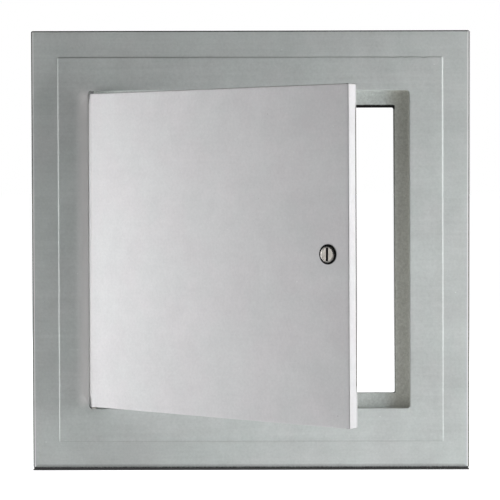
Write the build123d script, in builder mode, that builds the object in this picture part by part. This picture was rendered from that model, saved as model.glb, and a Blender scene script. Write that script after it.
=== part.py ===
"""Hinged wall access panel: a cast frame with a wide wall flange, and a cast
door slab on two concealed pivots, held shut by a slotted quarter-turn cam latch.

Frame of the part (mm): +X to the right seen from the room, +Y into the wall,
+Z up.  The origin is on the flange's flat back face, at the middle of its
bottom edge.  The door is drawn standing open, as it rests.
"""

import os
from math import asin, cos, degrees, radians, sin

from build123d import *

os.makedirs("parts", exist_ok=True)

# ---------------------------------------------------------------- dimensions
# frame casting
panel_size = 425.5          # outer square of the flange (16 3/4 in)
flange_thick = 12.7         # flange thickness, as thick as the wall board
strip_width = 26.9          # recessed taping strip round the flange
strip_drop = 0.7            # how far the strip lies below the raised face
edge_round = 1.2            # outer front edge of the flange
opening_size = 309.6        # square that the door closes
rebate_depth = 13.5         # face to the stop lip
lip_width = 14.3            # stop lip all round
lip_thick = 6.3
body_wall = 8.0             # wall of the shallow box behind the flange
hinge_relief = 3.05         # hinge-side jamb set back, for the swing
jamb_round = 16.3           # large rounding from the face to that jamb
jamb_reach = 13.4           # where this rounding starts, from the opening's line

# door casting
door_size = 304.8           # 12 in square
door_thick = 12.7           # 1/2 in
door_front_round = 1.25
door_back_round = 3.0
hinge_back_round = 5.5      # hidden corner that turns past the stop lip
hinge_gap = 1.75            # door to jamb on the hinge side, closed
door_drop = 0.4             # door sits this much below the opening's middle
door_open = 36.6            # opening angle at rest, degrees

# pivots
pivot_in = 2.4              # pin axis from the door's hinge edge
pivot_back = 3.0            # pin axis behind the door's face
pin_radius = 1.4
pin_fit = 0.05              # radial clearance of the pin in its socket
pin_in_door = 9.0
pin_in_frame = 8.5
plate_length = 30.0         # round-ended plates let into the edges
plate_width = 3.8
plate_thick = 2.0
pocket_fit = 0.1
plate_screws = (10.0, 20.0)  # screw places along the plate, from the pin
screw_head_radius = 1.6
screw_shank_radius = 0.9
screw_length = 13.0
thrust_radius = 2.7
thrust_gap = 0.1

# latch
latch_from_edge = 23.5      # latch axis from the door's free edge
latch_raise = 1.6           # latch axis above the door's middle
gasket_radius = 9.05        # dark sealing ring under the collar's head
gasket_thick = 0.4
collar_head_radius = 7.25
collar_head = 1.1           # domed head, above the ring
collar_dome = 0.9           # rounding of the head's rim
collar_body_radius = 6.8
collar_bore_radius = 5.4
plug_face_radius = 6.1
plug_face_sink = 0.25       # plug face below the collar's rim
plug_face_thick = 1.2
plug_body_radius = 5.35
plug_slot_width = 1.6
plug_slot_depth = 1.0
nut_flats = 17.0
nut_thick = 4.2
washer_radius = 8.8
washer_thick = 1.0
cam_gap = 0.7               # cam to the back of the stop lip, latched
cam_thick = 2.5
cam_reach = 22.0            # latch axis to the cam's tip
cam_hub_radius = 8.0
cam_tip_radius = 5.5
cam_square = 7.0            # square on the plug that drives the cam
cam_screw_head_radius = 4.5
cam_screw_head = 3.0

# ------------------------------------------------------------- derived places
z_mid = panel_size / 2
face_y = -flange_thick                      # plane of the raised face
half_open = opening_size / 2
lip_front_y = face_y + rebate_depth
lip_back_y = lip_front_y + lip_thick
lip_opening = opening_size - 2 * lip_width
body_size = opening_size + 2 * body_wall
plateau_size = panel_size - 2 * strip_width

hinge_wall = -half_open - hinge_relief      # plane of the hinge-side jamb
door_left = hinge_wall + hinge_gap          # hinge edge of the closed door
pivot_x = door_left + pivot_in
pivot_y = face_y + pivot_back
door_mid = z_mid - door_drop
door_bottom = door_mid - door_size / 2
door_top = door_mid + door_size / 2
open_bottom = z_mid - half_open
open_top = z_mid + half_open
top_gap = open_top - door_top
bottom_gap = door_bottom - open_bottom

# the rounding runs from the face to the hinge-side jamb
jamb_turn = degrees(asin((jamb_reach - hinge_relief) / jamb_round))
jamb_edge_y = face_y + jamb_round * (1 - cos(radians(jamb_turn)))

# door frame: u along the door from the pin, v through it to the back, z up
u_dir = Vector(cos(radians(door_open)), -sin(radians(door_open)), 0)
v_dir = Vector(sin(radians(door_open)), cos(radians(door_open)), 0)
pivot = Vector(pivot_x, pivot_y, 0)
door_plane = Plane(origin=pivot, x_dir=u_dir, z_dir=(0, 0, 1))
door_end_plane = Plane(origin=pivot - u_dir * 20, x_dir=v_dir, z_dir=u_dir)
u_left = -pivot_in
u_right = u_left + door_size
v_front = -pivot_back
v_back = v_front + door_thick

# latch frame: x along u, y up, z out of the door's face
u_latch = u_right - latch_from_edge
latch_plane = Plane(
    origin=pivot + u_dir * u_latch + v_dir * v_front + Vector(0, 0, door_mid + latch_raise),
    x_dir=u_dir,
    z_dir=v_dir * -1,
)
cam_front = rebate_depth + lip_thick + cam_gap   # depth behind the door's face
nut_front = door_thick + washer_thick
rim = gasket_thick + collar_head                  # top of the collar's rim

# --------------------------------------------------------------- frame casting
with BuildPart() as frame_casting:
    # flange with its recessed strip, then the raised face inside the strip
    with BuildSketch(Plane.XZ):
        with Locations((0, z_mid)):
            Rectangle(panel_size, panel_size)
    extrude(amount=flange_thick - strip_drop)
    fillet(
        frame_casting.faces().sort_by(Axis.Y)[0].edges(),
        radius=edge_round,
    )
    with BuildSketch(Plane.XZ.offset(flange_thick - strip_drop)):
        with Locations((0, z_mid)):
            Rectangle(plateau_size + 2 * strip_drop, plateau_size + 2 * strip_drop)
    extrude(amount=strip_drop, taper=45)
    # shallow box behind the flange that carries the stop lip
    with BuildSketch(Plane.XZ):
        with Locations((0, z_mid)):
            Rectangle(body_size, body_size)
    extrude(amount=-lip_back_y)
    # door opening down to the lip, and the clear opening through the lip
    with BuildSketch(Plane.XZ.offset(flange_thick)):
        with Locations((0, z_mid)):
            Rectangle(opening_size, opening_size)
    extrude(amount=-rebate_depth, mode=Mode.SUBTRACT)
    with BuildSketch(Plane.XZ.offset(flange_thick)):
        with Locations((0, z_mid)):
            Rectangle(lip_opening, lip_opening)
    extrude(amount=-(rebate_depth + lip_thick), mode=Mode.SUBTRACT)
    # hinge-side jamb: set back from the opening's line, with a large rounding
    with BuildSketch(Plane.XY.offset(open_bottom)):
        with BuildLine():
            Polyline(
                (hinge_wall, jamb_edge_y),
                (hinge_wall, lip_front_y),
                (-half_open + 1, lip_front_y),
                (-half_open + 1, face_y - 1),
                (-half_open - jamb_reach, face_y - 1),
                (-half_open - jamb_reach, face_y),
            )
            CenterArc(
                (-half_open - jamb_reach, face_y + jamb_round),
                jamb_round, -90, jamb_turn,
            )
        make_face()
    extrude(amount=opening_size, mode=Mode.SUBTRACT)
    # pockets and sockets of the two pivots
    for z_face, up in ((open_top, 1), (open_bottom, -1)):
        with BuildSketch(Plane.XY.offset(z_face)):
            with Locations((pivot_x + plate_length / 2 - plate_width / 2, pivot_y)):
                SlotOverall(plate_length + 2 * pocket_fit, plate_width + 2 * pocket_fit)
        extrude(amount=up * plate_thick, mode=Mode.SUBTRACT)
        with BuildSketch(Plane.XY.offset(z_face)):
            with Locations((pivot_x, pivot_y)):
                Circle(pin_radius + 0.4)
        extrude(amount=up * (pin_in_frame + 1.5), mode=Mode.SUBTRACT)
        with BuildSketch(Plane.XY.offset(z_face)):
            for s in plate_screws:
                with Locations((pivot_x + s, pivot_y)):
                    Circle(screw_shank_radius)
        extrude(amount=up * screw_length, mode=Mode.SUBTRACT)
frame_casting.part.label = "frame_casting"
export_step(frame_casting.part, "parts/frame_casting.step")

# ---------------------------------------------------------------- door casting
with BuildPart() as door_casting:
    # plan section, with a full round on the hidden hinge corner
    with BuildSketch(door_plane.offset(door_bottom)) as plan:
        with Locations((u_left + door_size / 2, v_front + door_thick / 2)):
            Rectangle(door_size, door_thick)
        fillet(plan.vertices().group_by(Axis.Y)[0], radius=door_front_round)
        fillet(
            plan.vertices().group_by(Axis.Y)[-1].sort_by(Axis.X)[-1],
            radius=door_back_round,
        )
        fillet(
            plan.vertices().group_by(Axis.Y)[-1].sort_by(Axis.X)[0],
            radius=hinge_back_round,
        )
    extrude(amount=door_size)
    # side section, which rounds the top and bottom edges
    with BuildSketch(door_end_plane) as side:
        with Locations((v_front + door_thick / 2, door_mid)):
            Rectangle(door_thick, door_size)
        fillet(side.vertices().group_by(Axis.X)[0], radius=door_front_round)
        fillet(side.vertices().group_by(Axis.X)[-1], radius=door_back_round)
    extrude(amount=door_size + 40, mode=Mode.INTERSECT)
    # pivot plate pockets, pin holes and screw holes in the two edges
    for z_face, into in ((door_top, -1), (door_bottom, 1)):
        with BuildSketch(door_plane.offset(z_face)):
            with Locations((plate_length / 2 - plate_width / 2, 0)):
                SlotOverall(plate_length + 2 * pocket_fit, plate_width + 2 * pocket_fit)
        extrude(amount=into * plate_thick, mode=Mode.SUBTRACT)
        with BuildSketch(door_plane.offset(z_face)):
            Circle(pin_radius)
        extrude(amount=into * pin_in_door, mode=Mode.SUBTRACT)
        with BuildSketch(door_plane.offset(z_face)):
            for s in plate_screws:
                with Locations((s, 0)):
                    Circle(screw_shank_radius)
        extrude(amount=into * screw_length, mode=Mode.SUBTRACT)
    # hole of the latch
    with BuildSketch(latch_plane):
        Circle(collar_body_radius + 0.1)
    extrude(amount=-door_thick, mode=Mode.SUBTRACT)
door_casting.part.label = "door_casting"
export_step(door_casting.part, "parts/door_casting.step")

# ----------------------------------------------------- pivots, upper and lower
for end, up, z_frame, z_door, gap in (
    ("upper", 1, open_top, door_top, top_gap),
    ("lower", -1, open_bottom, door_bottom, bottom_gap),
):
    # plate let into the frame's jamb, with the pin's socket
    with BuildPart() as socket_plate:
        with BuildSketch(Plane.XY.offset(z_frame)):
            with Locations((pivot_x + plate_length / 2 - plate_width / 2, pivot_y)):
                SlotOverall(plate_length, plate_width)
        extrude(amount=up * plate_thick)
        with BuildSketch(Plane.XY.offset(z_frame)):
            with Locations((pivot_x, pivot_y)):
                Circle(pin_radius + pin_fit)
        extrude(amount=up * plate_thick, mode=Mode.SUBTRACT)
        for s in plate_screws:
            with Locations((pivot_x + s, pivot_y, z_frame + up * plate_thick / 2)):
                Cone(
                    screw_head_radius if up > 0 else screw_shank_radius,
                    screw_shank_radius if up > 0 else screw_head_radius,
                    plate_thick,
                    mode=Mode.SUBTRACT,
                )
    socket_plate.part.label = f"{end}_socket_plate"
    export_step(socket_plate.part, f"parts/{end}_socket_plate.step")

    # countersunk screws of the socket plate
    with BuildPart() as socket_screws:
        for s in plate_screws:
            with Locations((pivot_x + s, pivot_y, z_frame + up * plate_thick / 2)):
                Cone(
                    screw_head_radius if up > 0 else screw_shank_radius,
                    screw_shank_radius if up > 0 else screw_head_radius,
                    plate_thick,
                )
            with BuildSketch(Plane.XY.offset(z_frame + up * plate_thick)):
                with Locations((pivot_x + s, pivot_y)):
                    Circle(screw_shank_radius)
            extrude(amount=up * (screw_length - plate_thick))
            with Locations((pivot_x + s, pivot_y, z_frame)):
                Box(2 * screw_head_radius, 0.8, 1.0, mode=Mode.SUBTRACT)
    socket_screws.part.label = f"{end}_socket_screws"
    export_step(socket_screws.part, f"parts/{end}_socket_screws.step")

    # plate let into the door's edge, which holds the pin
    with BuildPart() as pivot_plate:
        with BuildSketch(door_plane.offset(z_door)):
            with Locations((plate_length / 2 - plate_width / 2, 0)):
                SlotOverall(plate_length, plate_width)
        extrude(amount=-up * plate_thick)
        with BuildSketch(door_plane.offset(z_door)):
            Circle(pin_radius)
        extrude(amount=-up * plate_thick, mode=Mode.SUBTRACT)
        for s in plate_screws:
            spot = pivot + u_dir * s + Vector(0, 0, z_door - up * plate_thick / 2)
            with Locations(spot):
                Cone(
                    screw_shank_radius if up > 0 else screw_head_radius,
                    screw_head_radius if up > 0 else screw_shank_radius,
                    plate_thick,
                    mode=Mode.SUBTRACT,
                )
    pivot_plate.part.label = f"{end}_pivot_plate"
    export_step(pivot_plate.part, f"parts/{end}_pivot_plate.step")

    # countersunk screws of the pivot plate
    with BuildPart() as pivot_screws:
        for s in plate_screws:
            spot = pivot + u_dir * s + Vector(0, 0, z_door - up * plate_thick / 2)
            with Locations(spot):
                Cone(
                    screw_shank_radius if up > 0 else screw_head_radius,
                    screw_head_radius if up > 0 else screw_shank_radius,
                    plate_thick,
                )
            with BuildSketch(door_plane.offset(z_door - up * plate_thick)):
                with Locations((s, 0)):
                    Circle(screw_shank_radius)
            extrude(amount=-up * (screw_length - plate_thick))
            slot_place = Plane(
                origin=pivot + u_dir * s + Vector(0, 0, z_door),
                x_dir=u_dir,
                z_dir=(0, 0, 1),
            )
            with Locations(slot_place):
                Box(2 * screw_head_radius, 0.8, 1.0, mode=Mode.SUBTRACT)
    pivot_screws.part.label = f"{end}_pivot_screws"
    export_step(pivot_screws.part, f"parts/{end}_pivot_screws.step")

    # pin fixed in the door, running in the frame's socket
    with BuildPart() as pivot_pin:
        with BuildSketch(door_plane.offset(z_door - up * pin_in_door)):
            Circle(pin_radius)
        extrude(amount=up * (pin_in_door + gap + pin_in_frame))
        chamfer(
            pivot_pin.edges().filter_by(GeomType.CIRCLE).group_by(Axis.Z)[
                -1 if up > 0 else 0
            ],
            length=0.8,
        )
    pivot_pin.part.label = f"{end}_pivot_pin"
    export_step(pivot_pin.part, f"parts/{end}_pivot_pin.step")

# washer on the lower socket, which carries the door's weight
with BuildPart() as thrust_washer:
    with BuildSketch(Plane.XY.offset(open_bottom)):
        with Locations((pivot_x, pivot_y)):
            Circle(thrust_radius)
            Circle(pin_radius + pin_fit, mode=Mode.SUBTRACT)
    extrude(amount=bottom_gap - thrust_gap)
thrust_washer.part.label = "thrust_washer"
export_step(thrust_washer.part, "parts/thrust_washer.step")

# ----------------------------------------------------------------------- latch
# dark sealing ring between the collar's head and the door's face
with BuildPart() as latch_gasket:
    with BuildSketch(latch_plane):
        Circle(gasket_radius)
        Circle(collar_body_radius + 0.05, mode=Mode.SUBTRACT)
    extrude(amount=gasket_thick)
latch_gasket.part.label = "latch_gasket"
export_step(latch_gasket.part, "parts/latch_gasket.step")

# collar: domed round head on the ring, body through the door
with BuildPart() as latch_collar:
    with BuildSketch(latch_plane.offset(gasket_thick)):
        Circle(collar_head_radius)
    extrude(amount=collar_head)
    fillet(
        latch_collar.faces().sort_by(Axis(latch_plane.origin, latch_plane.z_dir))[-1].edges(),
        radius=collar_dome,
    )
    with BuildSketch(latch_plane.offset(gasket_thick)):
        Circle(collar_body_radius)
    extrude(amount=-(gasket_thick + cam_front - 0.5))
    with BuildSketch(latch_plane.offset(rim)):
        Circle(collar_bore_radius)
    extrude(amount=-(rim + cam_front), mode=Mode.SUBTRACT)
    with BuildSketch(latch_plane.offset(rim)):
        Circle(plug_face_radius + 0.05)
    extrude(amount=-(plug_face_sink + plug_face_thick + 0.05), mode=Mode.SUBTRACT)
latch_collar.part.label = "latch_collar"
export_step(latch_collar.part, "parts/latch_collar.step")

# plug: slotted face, spindle and the square that drives the cam
with BuildPart() as latch_plug:
    with BuildSketch(latch_plane.offset(rim - plug_face_sink)):
        Circle(plug_face_radius)
    extrude(amount=-plug_face_thick)
    with BuildSketch(latch_plane.offset(rim - plug_face_sink)):
        Circle(plug_body_radius)
    extrude(amount=-(cam_front + rim - plug_face_sink))
    with BuildSketch(latch_plane.offset(-cam_front)):
        Rectangle(cam_square, cam_square)
    extrude(amount=-cam_thick)
    with BuildSketch(latch_plane.offset(-(cam_front + cam_thick))):
        Circle(2.0)
    extrude(amount=8, mode=Mode.SUBTRACT)
    with BuildSketch(latch_plane.offset(rim - plug_face_sink)):
        Rectangle(plug_slot_width, 2 * plug_face_radius + 1)
    extrude(amount=-plug_slot_depth, mode=Mode.SUBTRACT)
latch_plug.part.label = "latch_plug"
export_step(latch_plug.part, "parts/latch_plug.step")

# washer and nut that clamp the collar to the door's back
with BuildPart() as latch_washer:
    with BuildSketch(latch_plane.offset(-door_thick)):
        Circle(washer_radius)
        Circle(collar_body_radius + 0.1, mode=Mode.SUBTRACT)
    extrude(amount=-washer_thick)
latch_washer.part.label = "latch_washer"
export_step(latch_washer.part, "parts/latch_washer.step")

with BuildPart() as latch_nut:
    with BuildSketch(latch_plane.offset(-nut_front)):
        RegularPolygon(nut_flats / 2, 6, major_radius=False, rotation=30)
        Circle(collar_body_radius + 0.05, mode=Mode.SUBTRACT)
    extrude(amount=-nut_thick)
latch_nut.part.label = "latch_nut"
export_step(latch_nut.part, "parts/latch_nut.step")

# cam arm hanging down, out of the lip's way
with BuildPart() as latch_cam:
    with BuildSketch(latch_plane.offset(-cam_front)):
        Circle(cam_hub_radius)
        with Locations((0, -(cam_reach - cam_tip_radius))):
            Circle(cam_tip_radius)
        make_hull()
        Rectangle(cam_square + 0.1, cam_square + 0.1, mode=Mode.SUBTRACT)
    extrude(amount=-cam_thick)
latch_cam.part.label = "latch_cam"
export_step(latch_cam.part, "parts/latch_cam.step")

# screw that holds the cam on the plug
with BuildPart() as cam_screw:
    with BuildSketch(latch_plane.offset(-(cam_front + cam_thick))):
        Circle(cam_screw_head_radius)
    extrude(amount=-cam_screw_head)
    fillet(
        cam_screw.faces().sort_by(Axis(latch_plane.origin, latch_plane.z_dir))[0].edges(),
        radius=1.4,
    )
    with BuildSketch(latch_plane.offset(-(cam_front + cam_thick))):
        Circle(1.95)
    extrude(amount=7.5)
    with BuildSketch(latch_plane.offset(-(cam_front + cam_thick + cam_screw_head))):
        Rectangle(1.0, 5.0)
        Rectangle(5.0, 1.0)
    extrude(amount=1.5, mode=Mode.SUBTRACT)
cam_screw.part.label = "cam_screw"
export_step(cam_screw.part, "parts/cam_screw.step")
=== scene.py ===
"""Looks of the hinged wall access panel: cast frame and door slab as modelled
meshes, metal pivots and latch, plain white floor and soft studio light."""

import math

import bmesh
import bpy
import numpy as np
from mathutils import Matrix, Vector, noise


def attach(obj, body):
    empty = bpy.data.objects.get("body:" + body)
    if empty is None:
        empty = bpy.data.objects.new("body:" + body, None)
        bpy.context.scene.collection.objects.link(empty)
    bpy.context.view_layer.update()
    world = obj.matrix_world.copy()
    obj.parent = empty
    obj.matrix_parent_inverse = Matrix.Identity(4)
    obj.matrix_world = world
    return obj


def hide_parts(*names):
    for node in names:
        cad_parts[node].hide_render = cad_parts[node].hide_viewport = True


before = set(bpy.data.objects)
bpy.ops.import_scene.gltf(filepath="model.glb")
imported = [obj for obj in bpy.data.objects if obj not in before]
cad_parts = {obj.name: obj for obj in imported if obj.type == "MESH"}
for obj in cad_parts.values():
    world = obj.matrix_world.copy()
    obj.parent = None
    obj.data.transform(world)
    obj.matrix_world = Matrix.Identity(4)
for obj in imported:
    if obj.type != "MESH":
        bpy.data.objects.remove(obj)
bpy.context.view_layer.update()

MM = 0.001

# ------------------------------------------------------------------ dimensions
# the same figures as the CAD pieces, in mm
PANEL = 425.5
Z_MID = PANEL / 2
FACE_Y = -12.7
STRIP_DROP = 0.7
PLATEAU = 425.5 / 2 - 26.3
OPEN = 309.6 / 2
LIP = OPEN - 14.3
LIP_FRONT = FACE_Y + 13.5
LIP_BACK = LIP_FRONT + 6.3
BODY = OPEN + 8.0
HINGE_SET = 2.85      # hinge-side jamb set back from the opening's line
JAMB_R = 26.4         # its large front rounding, run out shallow
JAMB_REACH = 13.4     # where that rounding starts

DOOR = 304.8
DOOR_T = 12.7
DOOR_OPEN = math.radians(36.6)
DOOR_MID = Z_MID - 0.4
U_LEFT, V_FRONT = -2.4, -3.0
PIVOT = (-OPEN - 3.05 + 1.75 - U_LEFT, FACE_Y - V_FRONT)

# the latch axis in the door's own frame
LATCH_U = U_LEFT + DOOR - 23.5
LATCH_Z = DOOR_MID + 1.6

scene = bpy.context.scene


def smooth(a, b, x):
    t = np.clip((np.asarray(x, float) - a) / (b - a), 0, 1)
    return t * t * (3 - 2 * t)


def wave(x, y, z, scale, seed):
    """Smooth noise from -1 to 1 at a point given in mm; scale is the feature size."""
    return noise.noise(Vector((x / scale + seed, y / scale - seed * 0.7, z / scale + seed * 1.3)))


def door_to_row(u, v, z):
    c, s = math.cos(DOOR_OPEN), math.sin(DOOR_OPEN)
    return (PIVOT[0] + u * c + v * s, PIVOT[1] - u * s + v * c, z)


def new_object(name, verts, faces, merge=0.004):
    me = bpy.data.meshes.new(name)
    me.from_pydata([tuple(c * MM for c in p) for p in verts], [], faces)
    ob = bpy.data.objects.new(name, me)
    scene.collection.objects.link(ob)
    bm = bmesh.new()
    bm.from_mesh(me)
    bmesh.ops.remove_doubles(bm, verts=bm.verts, dist=merge * MM)
    bmesh.ops.dissolve_degenerate(bm, edges=bm.edges, dist=1e-7)
    bmesh.ops.recalc_face_normals(bm, faces=bm.faces)
    bm.to_mesh(me)
    bm.free()
    return ob


def shade(ob, angle=40):
    ob.data.shade_smooth()
    ob.data.set_sharp_from_angle(angle=math.radians(angle))


# --------------------------------------------------------- rounded square loops
def square_loop(h, rc, n_side, n_arc):
    """Points round a square of half-size h with corner radius rc, as (a, b, side, t).

    Sides run bottom, right, top, left; t goes from 0 to 1 along a side and is -1 on an arc."""
    out = []
    ends = [
        ((-h + rc, -h), (h - rc, -h), (h - rc, -h + rc), -90),
        ((h, -h + rc), (h, h - rc), (h - rc, h - rc), 0),
        ((h - rc, h), (-h + rc, h), (-h + rc, h - rc), 90),
        ((-h, h - rc), (-h, -h + rc), (-h + rc, -h + rc), 180),
    ]
    for side, (p, q, c, a0) in enumerate(ends):
        for i in range(n_side + 1):
            t = i / n_side
            out.append((p[0] + (q[0] - p[0]) * t, p[1] + (q[1] - p[1]) * t, side, t))
        for i in range(1, n_arc):
            a = math.radians(a0 + 90 * i / n_arc)
            out.append((c[0] + rc * math.cos(a), c[1] + rc * math.sin(a), side, -1))
    return out


def band_faces(rings, count, close):
    faces = []
    n = len(rings)
    for k in range(n if close else n - 1):
        a, b = rings[k], rings[(k + 1) % n]
        for i in range(count):
            j = (i + 1) % count
            faces.append((a + i, a + j, b + j, b + i))
    return faces


# ---------------------------------------------------------------- frame casting
N_SIDE, N_ARC = 150, 5
LIP_DRAFT = (0.0, -0.5, -2.3, -1.0)   # slope of the lip's inner wall: bottom, right, top, left
EDGE_R = 0.55      # front edges of the opening, apart from the hinge side


def opening_edge(k, n_f, side, t):
    """Front edge of the opening at step k of n_f, as (outward from the wall line, depth).

    A small round on three sides; on the hinge side a large one, run out at its two ends."""
    f = math.radians(90 * k / n_f)
    small = (EDGE_R * (1 - math.cos(f)), EDGE_R * (1 - math.sin(f)))
    if side != 3 or t < 0:
        return small
    turn = math.asin((JAMB_REACH - HINGE_SET) / JAMB_R)
    deep = JAMB_R * (1 - math.cos(turn))
    if k == 0:
        large = (0.0, deep + 0.75)
    elif k == 1:
        large = (0.14, deep + 0.16)
    else:
        p = turn * 0.95 * (1 - (k - 2) / (n_f - 2))
        large = (JAMB_REACH - HINGE_SET - JAMB_R * math.sin(p), JAMB_R * (1 - math.cos(p)))
    d = min(t, 1 - t) * (2 * OPEN - 8.0)
    w = float(smooth(1.0, 15.0, d))
    return (small[0] + w * (large[0] - small[0]), small[1] + w * (large[1] - small[1]))


# chips along the step: side, place from the middle in mm, length, how deep
CHIPS = [
    (2, 139.0, 3.2, 0.75), (2, 151.5, 2.2, 0.5), (2, 168.0, 4.0, 0.8), (2, 129.0, 1.8, 0.4),
    (2, -62.0, 2.6, 0.35), (2, 24.0, 3.0, 0.3), (1, 26.0, 2.0, 0.5), (1, 53.0, 2.4, 0.55),
    (1, -96.0, 2.0, 0.4), (1, 120.0, 3.0, 0.35), (0, -70.0, 3.0, 0.4), (0, 88.0, 2.4, 0.45),
    (0, 150.0, 2.0, 0.35), (3, 74.0, 2.2, 0.35), (3, -40.0, 2.6, 0.3), (3, -131.0, 3.0, 0.45),
]


def step_shift(side, t, a, b):
    """How far the step's edge wanders sideways: slow waves, a fine ripple and chips."""
    w = 0.20 * wave(a, 0, b, 46, 3.1) + 0.10 * wave(a, 0, b, 13, 9.7) + 0.05 * wave(a, 0, b, 4.5, 1.9)
    if t < 0:
        return w * 0.5
    along = a if side in (0, 2) else b
    for s, place, length, deep in CHIPS:
        if s == side:
            w -= deep * math.exp(-(((along - place) / (0.55 * length)) ** 2))
    return w


def build_frame():
    probe = square_loop(OPEN, 4.0, N_SIDE, N_ARC)
    count = len(probe)
    n_f = 10
    edge = [[opening_edge(k, n_f, s, t) for (_, _, s, t) in probe] for k in range(n_f + 1)]
    verts, rings = [], []

    def ring(h, rc, y, shift=None, flat=0.0, left=0.0, out=None, draft=None, skew=0.0):
        """One loop of points. y is a number or one value a point, left moves the hinge side
        (and its corners) outwards, out adds one outward value a point, draft moves the
        bottom, right, top and left side, and skew leans the free side a little."""
        rings.append(len(verts))
        ys = y if isinstance(y, list) else [y] * count
        for i, (a, b, side, t) in enumerate(square_loop(h, rc, N_SIDE, N_ARC)):
            nx, nz = ((0, -1), (1, 0), (0, 1), (-1, 0))[side]
            if left:
                a -= left * float(smooth(-h + rc + 34.0, -h + rc, a))
            if draft:
                a += draft[1] * float(smooth(0.3 * h, h - rc, a)) - draft[3] * float(smooth(-0.3 * h, -h + rc, a))
                b += draft[2] * float(smooth(0.3 * h, h - rc, b)) - draft[0] * float(smooth(-0.3 * h, -h + rc, b))
            if skew:
                a -= skew * b * float(smooth(0.2 * h, h - rc, a))
            if t >= 0:
                d = (out[i] if out else 0.0) + (shift * step_shift(side, t, a, b) if shift else 0.0)
                a, b = a + nx * d, b + nz * d
            yy = ys[i]
            if flat:
                yy += flat * (
                    0.11 * wave(a, 0, b, 85, 5.3) + 0.05 * wave(a, 0, b, 31, 2.2)
                    + 0.02 * wave(a, 0, b, 12, 7.7)
                )
            verts.append((a, yy, b + Z_MID))

    # stop lip: back edge, drafted inner wall, front edge, front face, corner to the wall
    lean = 0.005
    for f, dh, y in (
        (1.0, 0.45, LIP_BACK), (1.0, 0.1, LIP_BACK - 0.12), (1.0, 0.0, LIP_BACK - 0.5),
        (0.55, 0.0, 0.5 * (LIP_BACK + LIP_FRONT)), (0.08, 0.0, LIP_FRONT + 0.75),
        (0.0, 0.15, LIP_FRONT + 0.15), (0.0, 0.6, LIP_FRONT),
    ):
        ring(LIP + 0.4 + dh, 1.5, y, draft=tuple(f * d for d in LIP_DRAFT), skew=lean)
    ring(LIP + 5.0, 1.9, LIP_FRONT, flat=1.4, skew=lean)
    ring(LIP + 9.5, 2.4, LIP_FRONT, flat=1.4, left=1.0, skew=0.004)
    lean = 0.003
    ring(OPEN - 0.6, 2.6, LIP_FRONT, left=HINGE_SET, skew=lean)
    ring(OPEN - 0.18, 2.9, LIP_FRONT - 0.18, left=HINGE_SET, skew=lean)
    ring(OPEN, 3.0, LIP_FRONT - 0.6, left=HINGE_SET, skew=lean)
    # rebate wall, then the rounding out to the raised face
    ring(OPEN, 3.0, [0.5 * (LIP_FRONT - 0.6 + FACE_Y + e[1]) for e in edge[0]], left=HINGE_SET, skew=lean)
    for k in range(n_f + 1):
        ring(
            OPEN, 3.0, [FACE_Y + e[1] for e in edge[k]], left=HINGE_SET,
            out=[e[0] for e in edge[k]], skew=lean,
        )
    # raised face
    for f in (0.10, 0.24, 0.42, 0.6, 0.78, 0.93):
        span = PLATEAU - 0.75 - OPEN
        ring(
            OPEN + span * f, 3.6 + (1.0 - 3.6) * f, FACE_Y, flat=1.0, left=HINGE_SET * (1 - f),
            out=[e[0] * (1 - f) for e in edge[n_f]], skew=lean,
        )
    # sloped step down to the taping strip
    for dh, dy, sh in (
        (-0.75, 0.0, 1.0), (-0.16, 0.015, 1.0), (0.02, 0.09, 1.0), (0.34, 0.36, 0.95),
        (0.62, 0.62, 0.85), (0.80, 0.69, 0.8), (1.5, STRIP_DROP, 0.6),
    ):
        ring(PLATEAU + dh, 1.0 + 0.3 * max(dh, 0), FACE_Y + dy, shift=sh, skew=lean)
    # taping strip and the outer edge
    for f in (0.18, 0.42, 0.66, 0.88):
        h = PLATEAU + 1.5 + (PANEL / 2 - 1.6 - PLATEAU - 1.5) * f
        ring(h, 1.8, FACE_Y + STRIP_DROP, flat=1.0)
    for k in range(8):
        a = math.radians(90 * k / 7)
        ring(PANEL / 2 - 1.2 + 1.2 * math.sin(a), 1.8, FACE_Y + STRIP_DROP + 1.2 - 1.2 * math.cos(a))
    # side, back face, box behind the flange
    ring(PANEL / 2, 1.8, -7.6)
    ring(PANEL / 2, 1.8, -4.0)
    ring(PANEL / 2, 1.8, -0.5)
    ring(PANEL / 2 - 0.15, 1.7, -0.15)
    ring(PANEL / 2 - 0.5, 1.5, 0.0)
    for h in (203.0, 192.0, 180.0, 170.0):
        ring(h, 2.0, 0.0)
    ring(BODY + 1.2, 5.0, 0.0)
    ring(BODY + 0.35, 4.3, 0.35)
    ring(BODY, 4.0, 1.2)
    ring(BODY, 4.0, 4.0)
    ring(BODY, 4.0, LIP_BACK - 1.0)
    ring(BODY - 0.3, 3.8, LIP_BACK - 0.3)
    ring(BODY - 1.0, 3.4, LIP_BACK)
    for h in (157.0, 152.0, 146.5):
        ring(h, 2.4, LIP_BACK)
    return new_object("cast_frame", verts, band_faces(rings, count, True))


# ----------------------------------------------------------------- door casting
D_SIDE, D_ARC = 64, 4


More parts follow.
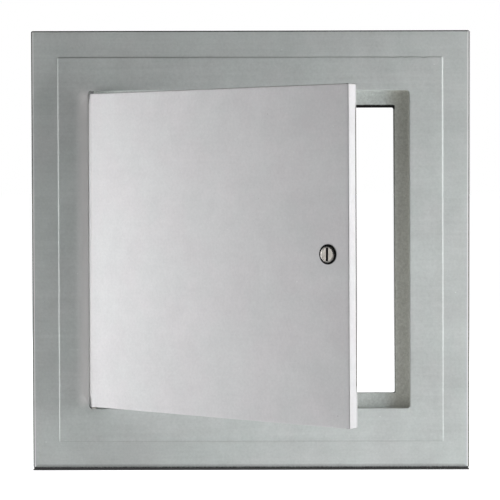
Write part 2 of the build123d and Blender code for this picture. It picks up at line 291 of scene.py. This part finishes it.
def build_door():
    half = DOOR / 2
    back = V_FRONT + DOOR_T
    verts, rings = [], []
    count = 4 * (D_SIDE + 1) + 4 * (D_ARC - 1)

    def ring(inset, rc, v):
        """inset and v are numbers, or (all sides, hinge side)."""
        rings.append(len(verts))
        i_all, i_h = inset if isinstance(inset, tuple) else (inset, inset)
        v_all, v_h = v if isinstance(v, tuple) else (v, v)
        for (a, b, side, t) in square_loop(half - i_all, rc, D_SIDE, D_ARC):
            # share of the hinge side at this point, faded in along the corner
            w = float(smooth(-half + 6.5, -half + 2.0, a))
            a2 = a + w * (i_h - i_all)
            verts.append((a2, v_all + w * (v_h - v_all), b))

    front_r, hinge_f, back_r, hinge_r = 1.0, 0.35, 0.8, 5.5
    grid_f, grid_b = 3.0, 8.0
    ring(grid_f, 0.0, V_FRONT)
    ring((front_r, hinge_f), 0.4, V_FRONT)
    for k in range(1, 6):
        f = math.radians(90 * k / 5)
        ring(
            (front_r * (1 - math.sin(f)), hinge_f * (1 - math.sin(f))),
            0.4 + 0.6 * math.sin(f),
            (V_FRONT + front_r * (1 - math.cos(f)), V_FRONT + hinge_f * (1 - math.cos(f))),
        )
    ring(0.0, 1.0, V_FRONT + 3.6)
    ring(0.0, 1.2, V_FRONT + 6.2)
    for k in range(0, 8):
        f = math.radians(90 * k / 7)
        ring(
            (back_r * (1 - math.cos(f)), hinge_r * (1 - math.cos(f))),
            1.3 + 1.7 * (1 - math.cos(f)),
            (back - back_r * (1 - math.sin(f)), back - hinge_r * (1 - math.sin(f))),
        )
    ring(grid_b, 0.0, back)
    faces = band_faces(rings, count, False)

    # the two flat faces as grids whose borders are the first and last rings
    def grid(first, inset, v, amp, seeds, flip):
        h = half - inset
        n = D_SIDE
        idx = {}
        loop = square_loop(h, 0.0, D_SIDE, D_ARC)
        step = 2 * h / n
        for i, (a, b, side, t) in enumerate(loop):
            if t >= 0:
                idx[(round((a + h) / step), round((b + h) / step))] = first + i
        for i in range(1, n):
            for j in range(1, n):
                a, b = -h + i * step, -h + j * step
                edge = min(a + h, h - a, b + h, h - b)
                fade = float(smooth(0, 26, edge))
                d = amp * fade * (
                    wave(a, 0, b, 120, seeds) + 0.45 * wave(a, 0, b, 48, seeds + 4)
                    + 0.16 * wave(a, 0, b, 17, seeds + 8)
                )
                idx[(i, j)] = len(verts)
                verts.append((a, v + d, b))
        for i in range(n):
            for j in range(n):
                q = (idx[(i, j)], idx[(i + 1, j)], idx[(i + 1, j + 1)], idx[(i, j + 1)])
                faces.append(q if not flip else q[::-1])

    grid(rings[0], grid_f, V_FRONT, 0.10, 2.6, False)
    grid(rings[-1], grid_b, back, 0.22, 11.4, True)
    # the slab is a little out of square at its free side
    placed = []
    for (a, v, b) in verts:
        free = (a + half) / DOOR
        placed.append(door_to_row(a - (0.2 + 0.0044 * (b + half)) * free + U_LEFT + half, v, b + DOOR_MID))
    return new_object("cast_door", placed, faces)


# ------------------------------------------------------------- cut-outs in both
def prism(name, outline, place, low, high):
    """Closed prism of an outline in the plane, from low to high; place maps (x, y, z) to the row."""
    n = len(outline)
    verts = [place(x, y, low) for x, y in outline] + [place(x, y, high) for x, y in outline]
    faces = [tuple(range(n - 1, -1, -1)), tuple(range(n, 2 * n))]
    faces += [(i, (i + 1) % n, n + (i + 1) % n, n + i) for i in range(n)]
    return new_object(name, verts, faces)


def slot_outline(x0, y0, length, width, n=14):
    r = width / 2
    pts = []
    for k in range(n + 1):
        a = math.radians(-90 + 180 * k / n)
        pts.append((x0 + length - 2 * r + r * math.cos(a), y0 + r * math.sin(a)))
    for k in range(n + 1):
        a = math.radians(90 + 180 * k / n)
        pts.append((x0 + r * math.cos(a), y0 + r * math.sin(a)))
    return pts


def round_outline(x0, y0, r, n=48):
    return [(x0 + r * math.cos(2 * math.pi * k / n), y0 + r * math.sin(2 * math.pi * k / n)) for k in range(n)]


def cut(ob, cutters):
    for c in cutters:
        m = ob.modifiers.new("cut", "BOOLEAN")
        m.operation = "DIFFERENCE"
        m.solver = "EXACT"
        m.object = c
    bpy.context.view_layer.update()
    dg = bpy.context.evaluated_depsgraph_get()
    me = bpy.data.meshes.new_from_object(ob.evaluated_get(dg))
    ob.modifiers.clear()
    old = ob.data
    ob.data = me
    bpy.data.meshes.remove(old)
    me.name = ob.name
    for c in cutters:
        old = c.data
        bpy.data.objects.remove(c)
        bpy.data.meshes.remove(old)


def in_row(x, y, z):
    return (x, y, z)


cast_frame = build_frame()
frame_cuts = []
for z_face, up in ((Z_MID + OPEN, 1), (Z_MID - OPEN, -1)):
    lo, hi = sorted((z_face - up * 1.0, z_face + up * 2.0))
    frame_cuts.append(prism("c", slot_outline(PIVOT[0], PIVOT[1], 30.16, 3.96), in_row, lo, hi))
    lo, hi = sorted((z_face - up * 1.0, z_face + up * 10.5))
    frame_cuts.append(prism("c", round_outline(PIVOT[0], PIVOT[1], 1.8, 32), in_row, lo, hi))
cut(cast_frame, frame_cuts)
shade(cast_frame)



def mark(ob, name, value):
    """A number at every vertex, from its place in mm."""
    layer = ob.data.attributes.new(name, "FLOAT", "POINT")
    layer.data.foreach_set("value", [value(*(c / MM for c in v.co)) for v in ob.data.vertices])


def outer_rim_and_contact_shade(x, y, z):
    """Dark rim along the outermost edge of the flange, wider at the bottom, where it is painted contact shadow."""
    if y > -1.0:
        return 0.0
    half = PANEL / 2
    side = max(float(smooth(half - 0.75, half - 0.3, e)) for e in (x, -x, z - Z_MID))
    low = float(smooth(half - 1.55, half - 0.95, Z_MID - z))
    fade = 1.0 - 0.75 * float(smooth(-9.4, -5.0, y))
    return max(side, low) * fade


def lip_shade(x, y, z):
    """Dark inner edge of the stop lip: strongest along the top, fading down the free side."""
    e = max(abs(x), abs(z - Z_MID))
    if y < LIP_FRONT + 0.1 or e > LIP + 1.3:
        return 0.0
    top = float(smooth(LIP - 3.2, LIP - 2.6, z - Z_MID))
    side = float(smooth(LIP - 2.2, LIP - 1.6, abs(x)))
    down = 0.60 + 0.28 * float(smooth(-LIP, LIP, z - Z_MID))
    low = 0.0
    return max(top, side * down, low) * (1.0 - 0.5 * float(smooth(LIP_BACK - 0.6, LIP_BACK, y)))


def raw_rebate(x, y, z):
    """The rebate and the lip are left rougher and warmer than the faces."""
    e = max(abs(x), abs(z - Z_MID))
    back = 1.0 - float(smooth(LIP_BACK - 1.6, LIP_BACK - 0.6, y))
    return float(smooth(FACE_Y + 1.5, FACE_Y + 6.0, y)) * back if e < OPEN + 1.0 else 0.0


def hinge_painted_light(x, y, z):
    """Painted bounce light: a paler strip on the rounded hinge-side edge, run out at its ends."""
    end = float(smooth(OPEN + 3.0, OPEN - 9.0, abs(z - Z_MID - 1.5)))
    return float(smooth(-172.0, -160.0, x)) * float(smooth(-148.0, -152.0, x)) * float(smooth(0.0, -5.0, y)) * end


mark(cast_frame, "painted_hinge_light", hinge_painted_light)
mark(cast_frame, "rim_and_contact_shade", outer_rim_and_contact_shade)
mark(cast_frame, "lip_shade", lip_shade)
mark(cast_frame, "raw", raw_rebate)

cast_door = build_door()
door_cuts = []
for z_face, up in ((DOOR_MID + DOOR / 2, 1), (DOOR_MID - DOOR / 2, -1)):
    lo, hi = sorted((z_face + up * 1.0, z_face - up * 2.0))
    door_cuts.append(prism("c", slot_outline(0, 0, 30.16, 3.96), door_to_row, lo, hi))


def along_latch(x, y, z):
    """x along the door, y up, z behind the door's face."""
    return door_to_row(LATCH_U + x, V_FRONT + z, LATCH_Z + y)


door_cuts.append(prism("c", round_outline(0, 0, 6.9, 64), along_latch, -3.0, DOOR_T + 3.0))
cut(cast_door, door_cuts)
shade(cast_door)


def door_hinge_painted_light(x, y, z):
    """The same painted light: a paler strip on the door's hinge edge."""
    u = (x - PIVOT[0]) * math.cos(DOOR_OPEN) - (y - PIVOT[1]) * math.sin(DOOR_OPEN) - U_LEFT
    return 0.3 * (1.0 - float(smooth(0.5, 8.0, u)))


mark(cast_door, "painted_hinge_light", door_hinge_painted_light)


# -------------------------------------------------------------------- materials
class Nodes:
    """Small helper for node materials."""

    def __init__(self, name):
        self.mat = bpy.data.materials.new(name)
        self.mat.use_nodes = True
        self.t = self.mat.node_tree
        self.bsdf = next(n for n in self.t.nodes if n.type == "BSDF_PRINCIPLED")
        self.out = next(n for n in self.t.nodes if n.type == "OUTPUT_MATERIAL")
        self.coord = self.add("ShaderNodeTexCoord").outputs["Object"]

    def add(self, kind, **props):
        n = self.t.nodes.new(kind)
        for k, v in props.items():
            setattr(n, k, v)
        return n

    def link(self, a, b):
        self.t.links.new(a, b)

    def mapped(self, scale, place=(0, 0, 0)):
        m = self.add("ShaderNodeMapping")
        m.inputs["Scale"].default_value = scale
        m.inputs["Location"].default_value = place
        self.link(self.coord, m.inputs["Vector"])
        return m.outputs["Vector"]

    def noise(self, scale, detail=2.0, rough=0.5, vec=None, distortion=0.0):
        n = self.add("ShaderNodeTexNoise")
        n.inputs["Scale"].default_value = scale
        n.inputs["Detail"].default_value = detail
        n.inputs["Roughness"].default_value = rough
        n.inputs["Distortion"].default_value = distortion
        self.link(vec or self.coord, n.inputs["Vector"])
        return n.outputs["Fac"]

    def voronoi(self, scale, vec=None, randomness=1.0):
        n = self.add("ShaderNodeTexVoronoi")
        n.inputs["Scale"].default_value = scale
        n.inputs["Randomness"].default_value = randomness
        self.link(vec or self.coord, n.inputs["Vector"])
        return n.outputs["Distance"], n.outputs["Color"]

    def math(self, op, a, b=None, c=None, clamp=False):
        n = self.add("ShaderNodeMath", operation=op, use_clamp=clamp)
        for i, x in enumerate((a, b, c)):
            if x is None:
                continue
            if isinstance(x, (int, float)):
                n.inputs[i].default_value = x
            else:
                self.link(x, n.inputs[i])
        return n.outputs[0]

    def range(self, x, a0, a1, b0, b1, smoothstep=False):
        n = self.add("ShaderNodeMapRange", clamp=True)
        if smoothstep:
            n.interpolation_type = "SMOOTHSTEP"
        for i, v in enumerate((a0, a1, b0, b1)):
            n.inputs[i + 1].default_value = v
        self.link(x, n.inputs[0])
        return n.outputs[0]

    def mix(self, fac, a, b, mode="MIX"):
        n = self.add("ShaderNodeMix", data_type="RGBA", blend_type=mode)
        ins = [s for s in n.inputs if s.type == "RGBA"]
        f = next(s for s in n.inputs if s.type == "VALUE")
        if isinstance(fac, (int, float)):
            f.default_value = fac
        else:
            self.link(fac, f)
        for s, x in zip(ins, (a, b)):
            if isinstance(x, tuple):
                s.default_value = (*x, 1.0)
            else:
                self.link(x, s)
        return next(s for s in n.outputs if s.type == "RGBA")

    def bump(self, height, distance, strength=1.0, normal=None):
        n = self.add("ShaderNodeBump")
        n.inputs["Distance"].default_value = distance
        n.inputs["Strength"].default_value = strength
        self.link(height, n.inputs["Height"])
        if normal is not None:
            self.link(normal, n.inputs["Normal"])
        return n.outputs["Normal"]

    def attribute(self, name):
        n = self.add("ShaderNodeAttribute", attribute_name=name)
        return n.outputs["Fac"]


def gypsum(name, light, dark, streak=1.0, pits=1.0, marks_and_shade=False):
    """Cast, sealed gypsum: cloudy tone, fine sandy grain, trowel streaks, pits and specks."""
    m = Nodes(name)
    cloud = m.noise(14.0, 4.0, 0.55, distortion=0.4)
    cloud2 = m.noise(55.0, 3.0, 0.6)
    fine = m.noise(1100.0, 2.0, 0.6)
    sand = m.noise(420.0, 3.0, 0.65)
    lines = m.noise(1.0, 3.0, 0.6, vec=m.mapped((9.0, 9.0, 260.0)))
    tone = m.math("MULTIPLY_ADD", cloud, 0.60, m.math("MULTIPLY", cloud2, 0.40))
    tone = m.math("MULTIPLY_ADD", lines, 0.34 * streak, tone)
    tone = m.math("MULTIPLY_ADD", sand, 0.62, tone)
    col = m.mix(m.range(tone, 0.70, 1.26, 0.0, 1.0), dark, light)
    drift = m.noise(24.0, 3.0, 0.6)
    col = m.mix(1.0, col, m.mix(m.range(drift, 0.38, 0.62, 0.0, 1.0), (0.988, 1.0, 0.998), (1.0, 0.990, 0.996)), mode="MULTIPLY")
    # pale specks and small dark pits, each in a few of the cells
    d1, c1 = m.voronoi(95.0)
    pick1 = m.add("ShaderNodeSeparateColor")
    m.link(c1, pick1.inputs[0])
    keep1 = m.math("GREATER_THAN", pick1.outputs[0], 0.90)
    size1 = m.range(pick1.outputs[1], 0.0, 1.0, 0.025, 0.065)
    spot1 = m.math("LESS_THAN", d1, size1)
    speck = m.math("MULTIPLY", spot1, keep1)
    d2, c2 = m.voronoi(130.0, vec=m.mapped((1, 1, 1), (3.7, 1.1, 7.9)))
    pick2 = m.add("ShaderNodeSeparateColor")
    m.link(c2, pick2.inputs[0])
    keep2 = m.math("GREATER_THAN", pick2.outputs[0], 1.0 - 0.13 * pits)
    size2 = m.range(pick2.outputs[1], 0.0, 1.0, 0.03, 0.10)
    pit = m.math("MULTIPLY", m.range(m.math("SUBTRACT", size2, d2), 0.0, 0.05, 0.0, 1.0), keep2)
    col = m.mix(m.math("MULTIPLY", speck, 0.5), col, tuple(min(0.95, c * 1.38) for c in light))
    col = m.mix(m.math("MULTIPLY", pit, 0.45), col, tuple(c * 0.55 for c in dark))
    # painted bounce light: a paler strip along the hinge edges of frame and door
    col = m.mix(m.attribute("painted_hinge_light"), col, (0.97, 0.962, 0.955))
    black = None
    # the frame's rebate tone with its painted shade and highlights; otherwise the door's painted edge shade
    if marks_and_shade:
        sep = m.add("ShaderNodeSeparateXYZ")
        m.link(m.coord, sep.inputs[0])
        px, py = sep.outputs["X"], sep.outputs["Y"]
        pz = m.math("SUBTRACT", sep.outputs["Z"], Z_MID * MM)
        ax = m.math("ABSOLUTE", px)

        def above(x, mm, soft):
            return m.range(x, (mm - soft) * MM, mm * MM, 0.0, 1.0)

        def below(x, mm, soft):
            return m.range(x, mm * MM, (mm + soft) * MM, 1.0, 0.0)

        def both(*parts):
            out = parts[0]
            for q in parts[1:]:
                out = m.math("MULTIPLY", out, q)
            return out

        # rough, blotchy rebate: greener above and below, warm on the free side, where its darker tone is painted
        # shade from the free-side wall
        blotch = m.noise(460.0, 4.0, 0.7)
        mottle = m.range(blotch, 0.26, 0.74, 0.0, 1.0)
        warm_shaded = m.mix(mottle, tuple(c * k for c, k in zip(dark, (0.84, 0.80, 0.72))), tuple(c * k for c, k in zip(light, (1.02, 0.985, 0.92))))
        cool = m.mix(mottle, tuple(c * k for c, k in zip(dark, (0.90, 0.91, 0.89))), tuple(c * k for c, k in zip(light, (1.06, 1.07, 1.05))))
        col = m.mix(m.attribute("raw"), col, m.mix(above(px, LIP + 3.0, 14.0), cool, warm_shaded))
        # outline of the flange: a dark rim, and a paler line inside it at the two sides, a painted highlight of the
        # rounded edge
        half = PANEL / 2
        front = below(py, -10.0, 1.0)
        rough_edge = m.range(m.noise(500.0, 3.0, 0.6), 0.3, 0.7, 0.75, 1.1)
        side_highlight = both(above(ax, half - 2.2, 0.4), below(ax, half - 1.45, 0.2), front)
        col = m.mix(m.math("MULTIPLY", side_highlight, 0.75), col, (0.95, 0.945, 0.94))
        rim = both(above(m.math("MAXIMUM", ax, pz), half - 1.05, 0.3), front, rough_edge)
        col = m.mix(m.math("MINIMUM", rim, 1.0), col, (0.085, 0.086, 0.086))
        # painted shade: a faint dark line along the lower step, whose wall faces down
        low = both(above(pz, -PLATEAU - 0.45, 0.3), below(pz, -PLATEAU + 0.15, 0.3), below(ax, PLATEAU, 0.5), front)
        col = m.mix(m.math("MULTIPLY", low, 0.22), col, tuple(c * 0.45 for c in dark))
        # dark rim from the marked attribute; the wider band along the bottom edge is painted contact shadow
        col = m.mix(m.math("MULTIPLY", m.attribute("rim_and_contact_shade"), rough_edge, clamp=True), col, (0.015, 0.015, 0.015))
        # painted shade on the inner edge of the stop lip: black along the top, and thinly down the free side
        on_lip = above(py, LIP_FRONT - 0.1, 0.2)
        over = both(above(pz, LIP - 3.6, 0.4), below(pz, LIP + 0.1, 0.3), below(ax, LIP + 0.2, 0.4), on_lip)
        down = m.range(pz, -LIP * MM, LIP * MM, 0.6, 0.9)
        side_shade = both(above(px, LIP - 2.6, 0.4), below(px, LIP + 0.05, 0.3), below(pz, LIP + 0.1, 0.4), above(pz, -LIP + 0.2, 0.4), on_lip, down)
        black = m.math("MAXIMUM", m.math("MAXIMUM", over, side_shade), m.math("MULTIPLY", m.attribute("lip_shade"), rough_edge, clamp=True))
        col = m.mix(black, col, (0.006, 0.006, 0.006))
    else:
        # painted shade along the free edge: a dark line on its back rounding, a thin grey one at the front
        def along(direction):
            n = m.add("ShaderNodeVectorMath", operation="DOT_PRODUCT")
            n.inputs[1].default_value = direction
            m.link(m.coord, n.inputs[0])
            start = MM * (PIVOT[0] * direction[0] + PIVOT[1] * direction[1])
            return m.math("SUBTRACT", n.outputs["Value"], start)

        du = along((math.cos(DOOR_OPEN), -math.sin(DOOR_OPEN), 0.0))
        dv = along((math.sin(DOOR_OPEN), math.cos(DOOR_OPEN), 0.0))
        rear = V_FRONT + DOOR_T
        free = m.range(du, (U_LEFT + DOOR - 4.2) * MM, (U_LEFT + DOOR - 3.6) * MM, 0.0, 1.0)
        ahead = m.range(dv, (rear - 0.6) * MM, (rear - 0.15) * MM, 1.0, 0.0)
        # painted shade: the edge itself is a little greyer than the face
        free_edge_shade = m.math("MULTIPLY", m.range(dv, (V_FRONT + 0.35) * MM, (V_FRONT + 0.8) * MM, 0.0, 1.0), ahead)
        col = m.mix(m.math("MULTIPLY", m.math("MULTIPLY", free_edge_shade, free), 0.13), col, (0.0, 0.0, 0.0))
        # its painted shadow line runs out towards both ends
        height = m.add("ShaderNodeSeparateXYZ")
        m.link(m.coord, height.inputs[0])
        up = m.math("SUBTRACT", height.outputs["Z"], Z_MID * MM)
        run = m.math("MULTIPLY", m.range(up, -123.0 * MM, -115.0 * MM, 0.2, 1.0), m.range(up, 129.0 * MM, 136.0 * MM, 1.0, 0.2))
        back_round_shadow = m.math("MULTIPLY", m.math("MULTIPLY", m.range(dv, (rear - 2.3) * MM, (rear - 2.0) * MM, 0.0, 1.0), ahead), run)
        col = m.mix(m.math("MULTIPLY", m.math("MULTIPLY", back_round_shadow, free), 0.95), col, (0.03, 0.03, 0.032))
        front_round_shade = m.math("MULTIPLY", m.range(dv, (V_FRONT + 0.03) * MM, (V_FRONT + 0.10) * MM, 0.0, 1.0), m.range(dv, (V_FRONT + 0.40) * MM, (V_FRONT + 0.60) * MM, 1.0, 0.0))
        col = m.mix(m.math("MULTIPLY", m.math("MULTIPLY", front_round_shade, free), 0.6), col, tuple(c * 0.35 for c in dark))
    m.link(col, m.bsdf.inputs["Base Color"])
    m.link(m.range(m.math("MULTIPLY_ADD", sand, 0.5, m.math("MULTIPLY", cloud, 0.5)), 0.3, 0.7, 0.52, 0.68), m.bsdf.inputs["Roughness"])
    if black is None:
        m.bsdf.inputs["Specular IOR Level"].default_value = 0.42
    else:
        m.link(m.range(black, 0.0, 1.0, 0.42, 0.02), m.bsdf.inputs["Specular IOR Level"])
    n1 = m.bump(m.noise(170.0, 3.0, 0.55), 0.00025, 0.5)
    n2 = m.bump(m.math("ADD", m.math("MULTIPLY", sand, 0.7), m.math("MULTIPLY", fine, 0.3)), 0.00010, 0.55, n1)
    n3 = m.bump(lines, 0.00012, 0.25 * streak, n2)
    n4 = m.bump(m.math("MULTIPLY", pit, -1.0), 0.0003, 0.8, n3)
    m.link(n4, m.bsdf.inputs["Normal"])
    return m.mat


def metal(name, light, dark, rough, brushed=None, grime=0.0, shade_slot=False):
    m = Nodes(name)
    n = m.noise(240.0, 4.0, 0.6)
    col = m.mix(m.range(n, 0.35, 0.65, 0.0, 1.0), dark, light)
    if grime:
        g = m.noise(700.0, 3.0, 0.6)
        col = m.mix(m.range(g, 0.55, 0.75, 0.0, grime), col, tuple(c * 0.35 for c in dark))
    if shade_slot:
        # painted shade: the screwdriver slot is dark inside: height above the door's face, in metres
        base = Vector(door_to_row(LATCH_U, V_FRONT, LATCH_Z)) * MM
        off = m.add("ShaderNodeVectorMath", operation="SUBTRACT")
        off.inputs[1].default_value = base
        m.link(m.coord, off.inputs[0])
        dot = m.add("ShaderNodeVectorMath", operation="DOT_PRODUCT")
        dot.inputs[1].default_value = (-math.sin(DOOR_OPEN), -math.cos(DOOR_OPEN), 0.0)
        m.link(off.outputs[0], dot.inputs[0])
        high = dot.outputs["Value"]
        deep = m.math("MULTIPLY", m.range(high, 0.00116, 0.00122, 1.0, 0.0), m.range(high, 0.0000, 0.0002, 0.0, 1.0))
        across = m.add("ShaderNodeVectorMath", operation="DOT_PRODUCT")
        across.inputs[1].default_value = (math.cos(DOOR_OPEN), -math.sin(DOOR_OPEN), 0.0)
        m.link(off.outputs[0], across.inputs[0])
        side_shade = m.range(m.math("ABSOLUTE", across.outputs["Value"]), 0.00110, 0.00126, 1.0, 0.0)
        deep = m.math("MAXIMUM", deep, m.math("MULTIPLY", side_shade, m.range(high, 0.0000, 0.0002, 0.0, 1.0)))
        col = m.mix(deep, col, (0.004, 0.004, 0.004))
        m.link(m.math("SUBTRACT", 1.0, deep), m.bsdf.inputs["Metallic"])
        m.bsdf.inputs["Specular IOR Level"].default_value = 0.05
    else:
        m.bsdf.inputs["Metallic"].default_value = 1.0
    m.link(col, m.bsdf.inputs["Base Color"])
    m.link(m.range(m.noise(900.0, 3.0, 0.6), 0.3, 0.7, rough * 0.8, rough * 1.25), m.bsdf.inputs["Roughness"])
    if brushed:
        b = m.noise(1.0, 2.0, 0.6, vec=m.mapped(brushed))
        m.link(m.bump(b, 0.00003, 0.5), m.bsdf.inputs["Normal"])
    else:
        m.link(m.bump(m.noise(1500.0, 2.0, 0.5), 0.00002, 0.4), m.bsdf.inputs["Normal"])
    return m.mat


def rubber(name, col):
    m = Nodes(name)
    n = m.noise(900.0, 2.0, 0.5)
    m.link(m.mix(n, tuple(c * 0.7 for c in col), tuple(c * 1.4 for c in col)), m.bsdf.inputs["Base Color"])
    m.link(m.range(n, 0.3, 0.7, 0.7, 0.95), m.bsdf.inputs["Roughness"])
    m.bsdf.inputs["Specular IOR Level"].default_value = 0.15
    m.link(m.bump(n, 0.00003, 0.4), m.bsdf.inputs["Normal"])
    return m.mat


FRAME_LIGHT, FRAME_DARK = (0.646, 0.677, 0.665), (0.501, 0.531, 0.520)
DOOR_LIGHT, DOOR_DARK = (0.785, 0.779, 0.789), (0.660, 0.656, 0.666)
mat_frame = gypsum("cast_gypsum_frame", FRAME_LIGHT, FRAME_DARK, marks_and_shade=True)
mat_door = gypsum("cast_gypsum_door", DOOR_LIGHT, DOOR_DARK, streak=0.45, pits=0.35)
mat_nickel = metal("satin_nickel", (0.42, 0.405, 0.385), (0.31, 0.297, 0.28), 0.26, grime=0.35)
mat_plug = metal("satin_nickel_plug", (0.37, 0.352, 0.325), (0.27, 0.256, 0.232), 0.34, grime=0.35, shade_slot=True)
mat_zinc = metal("zinc_steel", (0.66, 0.67, 0.68), (0.50, 0.51, 0.52), 0.38, grime=0.4)
mat_rubber = rubber("black_rubber", (0.004, 0.004, 0.004))
mat_nylon = rubber("white_nylon", (0.62, 0.61, 0.57))


def paint(ob, mat):
    ob.data.materials.clear()
    ob.data.materials.append(mat)


paint(cast_frame, mat_frame)
paint(cast_door, mat_door)
NODE_MATS = {
    "latch_gasket": mat_rubber, "latch_collar": mat_nickel, "latch_plug": mat_plug,
    "thrust_washer": mat_nylon,
}
for node_name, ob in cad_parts.items():
    mat = NODE_MATS.get(node_name, mat_zinc)
    if node_name == "frame_casting":
        mat = mat_frame
    elif node_name == "door_casting":
        mat = mat_door
    for s in ob.material_slots:
        s.material = mat

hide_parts("frame_casting")
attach(cast_frame, "frame")
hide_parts("door_casting")
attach(cast_door, "door")

# ------------------------------------------------------------------------ stage
floor_mesh = bpy.data.meshes.new("floor")
floor_mesh.from_pydata([(-90, -90, -0.0003), (90, -90, -0.0003), (90, 90, -0.0003), (-90, 90, -0.0003)], [], [(0, 1, 2, 3)])
floor = bpy.data.objects.new("floor", floor_mesh)
scene.collection.objects.link(floor)
fm = Nodes("pale_floor")
fm.bsdf.inputs["Roughness"].default_value = 0.9
fm.bsdf.inputs["Emission Color"].default_value = (1, 1, 1, 1)
# bright white where it is looked at, a weak bounce onto the panel
glow = fm.add("ShaderNodeLightPath").outputs["Is Camera Ray"]
spot = fm.add("ShaderNodeSeparateXYZ")
fm.link(fm.coord, spot.inputs[0])
near = fm.math("MULTIPLY", fm.range(spot.outputs["Y"], -0.0265, -0.0235, 0.0, 1.0), fm.range(spot.outputs["Y"], 0.002, 0.006, 1.0, 0.0))
near = fm.math("MULTIPLY", near, fm.range(fm.math("ABSOLUTE", spot.outputs["X"]), 0.2115, 0.2130, 1.0, 0.0))
near = fm.math("MULTIPLY", near, glow)
fm.link(fm.math("MULTIPLY", fm.range(glow, 0.0, 1.0, 0.22, 1.0), fm.range(near, 0.0, 1.0, 1.0, 0.02)), fm.bsdf.inputs["Emission Strength"])
# the contact shadow right along the bottom edge
pale = fm.mix(fm.noise(3.0, 2.0), (0.90, 0.90, 0.90), (0.92, 0.92, 0.92))
fm.link(fm.mix(near, pale, (0.02, 0.02, 0.02)), fm.bsdf.inputs["Base Color"])
paint(floor, fm.mat)

# ----------------------------------------------------------------------- camera
cam_data = bpy.data.cameras.new("camera")
cam_data.sensor_width = 36.0
cam_data.lens = 139.46
cam = bpy.data.objects.new("camera", cam_data)
scene.collection.objects.link(cam)
YAW, PITCH, ROLL = math.radians(-0.070), math.radians(1.818), math.radians(-0.128)
fwd = Vector((math.sin(YAW) * math.cos(PITCH), math.cos(YAW) * math.cos(PITCH), -math.sin(PITCH)))
right = Vector((math.cos(YAW), -math.sin(YAW), 0))
up = right.cross(fwd)
r2 = right * math.cos(ROLL) + up * math.sin(ROLL)
u2 = up * math.cos(ROLL) - right * math.sin(ROLL)
rot = Matrix((r2, u2, -fwd)).transposed().to_4x4()
cam.matrix_world = Matrix.Translation((0.00154, -1.89473, 0.27246)) @ rot
scene.camera = cam


# ----------------------------------------------------------------------- lights
def area(name, place, aim, size, power, color=(1, 1, 1)):
    d = bpy.data.lights.new(name, "AREA")
    d.shape = "RECTANGLE"
    d.size, d.size_y = size
    d.energy = power
    d.color = color
    o = bpy.data.objects.new(name, d)
    scene.collection.objects.link(o)
    v = Vector(aim) - Vector(place)
    o.matrix_world = Matrix.Translation(place) @ v.to_track_quat("-Z", "Y").to_matrix().to_4x4()
    o.visible_camera = False
    return o


AIM = (0.0, -0.05, 0.2128)
area("left_near", (-0.7418, -0.1050, 0.1344), AIM, (0.30, 0.30), 2.46)
area("left_far", (-1.6815, -0.1900, 0.0600), AIM, (0.60, 0.60), 10.6)
area("left_high", (-0.7332, -0.0756, 0.3687), AIM, (0.30, 0.30), 0.26)
area("right_far", (1.6079, -0.5725, 0.0600), AIM, (0.60, 0.60), 14.3)
area("right_front", (0.6586, -0.4002, 0.1344), AIM, (0.30, 0.30), 1.27)
area("right_near", (0.7454, -0.0760, 0.1344), AIM, (0.30, 0.30), 0.71)
area("right_mid", (0.7332, -0.0756, 0.3687), AIM, (0.30, 0.30), 1.05)
area("right_high", (0.6214, -0.0717, 0.6322), AIM, (0.30, 0.30), 1.15)
# fill from behind, for the views from the back
area("back_left", (-0.95, 1.25, 0.75), (0.0, 0.0, 0.21), (0.9, 0.9), 9.0)
area("back_right", (1.10, 1.05, 0.45), (0.0, 0.0, 0.21), (0.9, 0.9), 5.0)

world = bpy.data.worlds.new("studio")
scene.world = world
world.use_nodes = True
wt = world.node_tree
wt.nodes.clear()
w_out = wt.nodes.new("ShaderNodeOutputWorld")
w_mix = wt.nodes.new("ShaderNodeMixShader")
w_path = wt.nodes.new("ShaderNodeLightPath")
w_amb = wt.nodes.new("ShaderNodeBackground")
w_see = wt.nodes.new("ShaderNodeBackground")
w_amb.inputs["Color"].default_value = (1, 1, 1, 1)
w_amb.inputs["Strength"].default_value = 0.01
w_see.inputs["Color"].default_value = (1, 1, 1, 1)
w_see.inputs["Strength"].default_value = 1.0
wt.links.new(w_path.outputs["Is Camera Ray"], w_mix.inputs[0])
wt.links.new(w_amb.outputs[0], w_mix.inputs[1])
wt.links.new(w_see.outputs[0], w_mix.inputs[2])
wt.links.new(w_mix.outputs[0], w_out.inputs[0])

scene.view_settings.view_transform = "Standard"
scene.view_settings.look = "None"
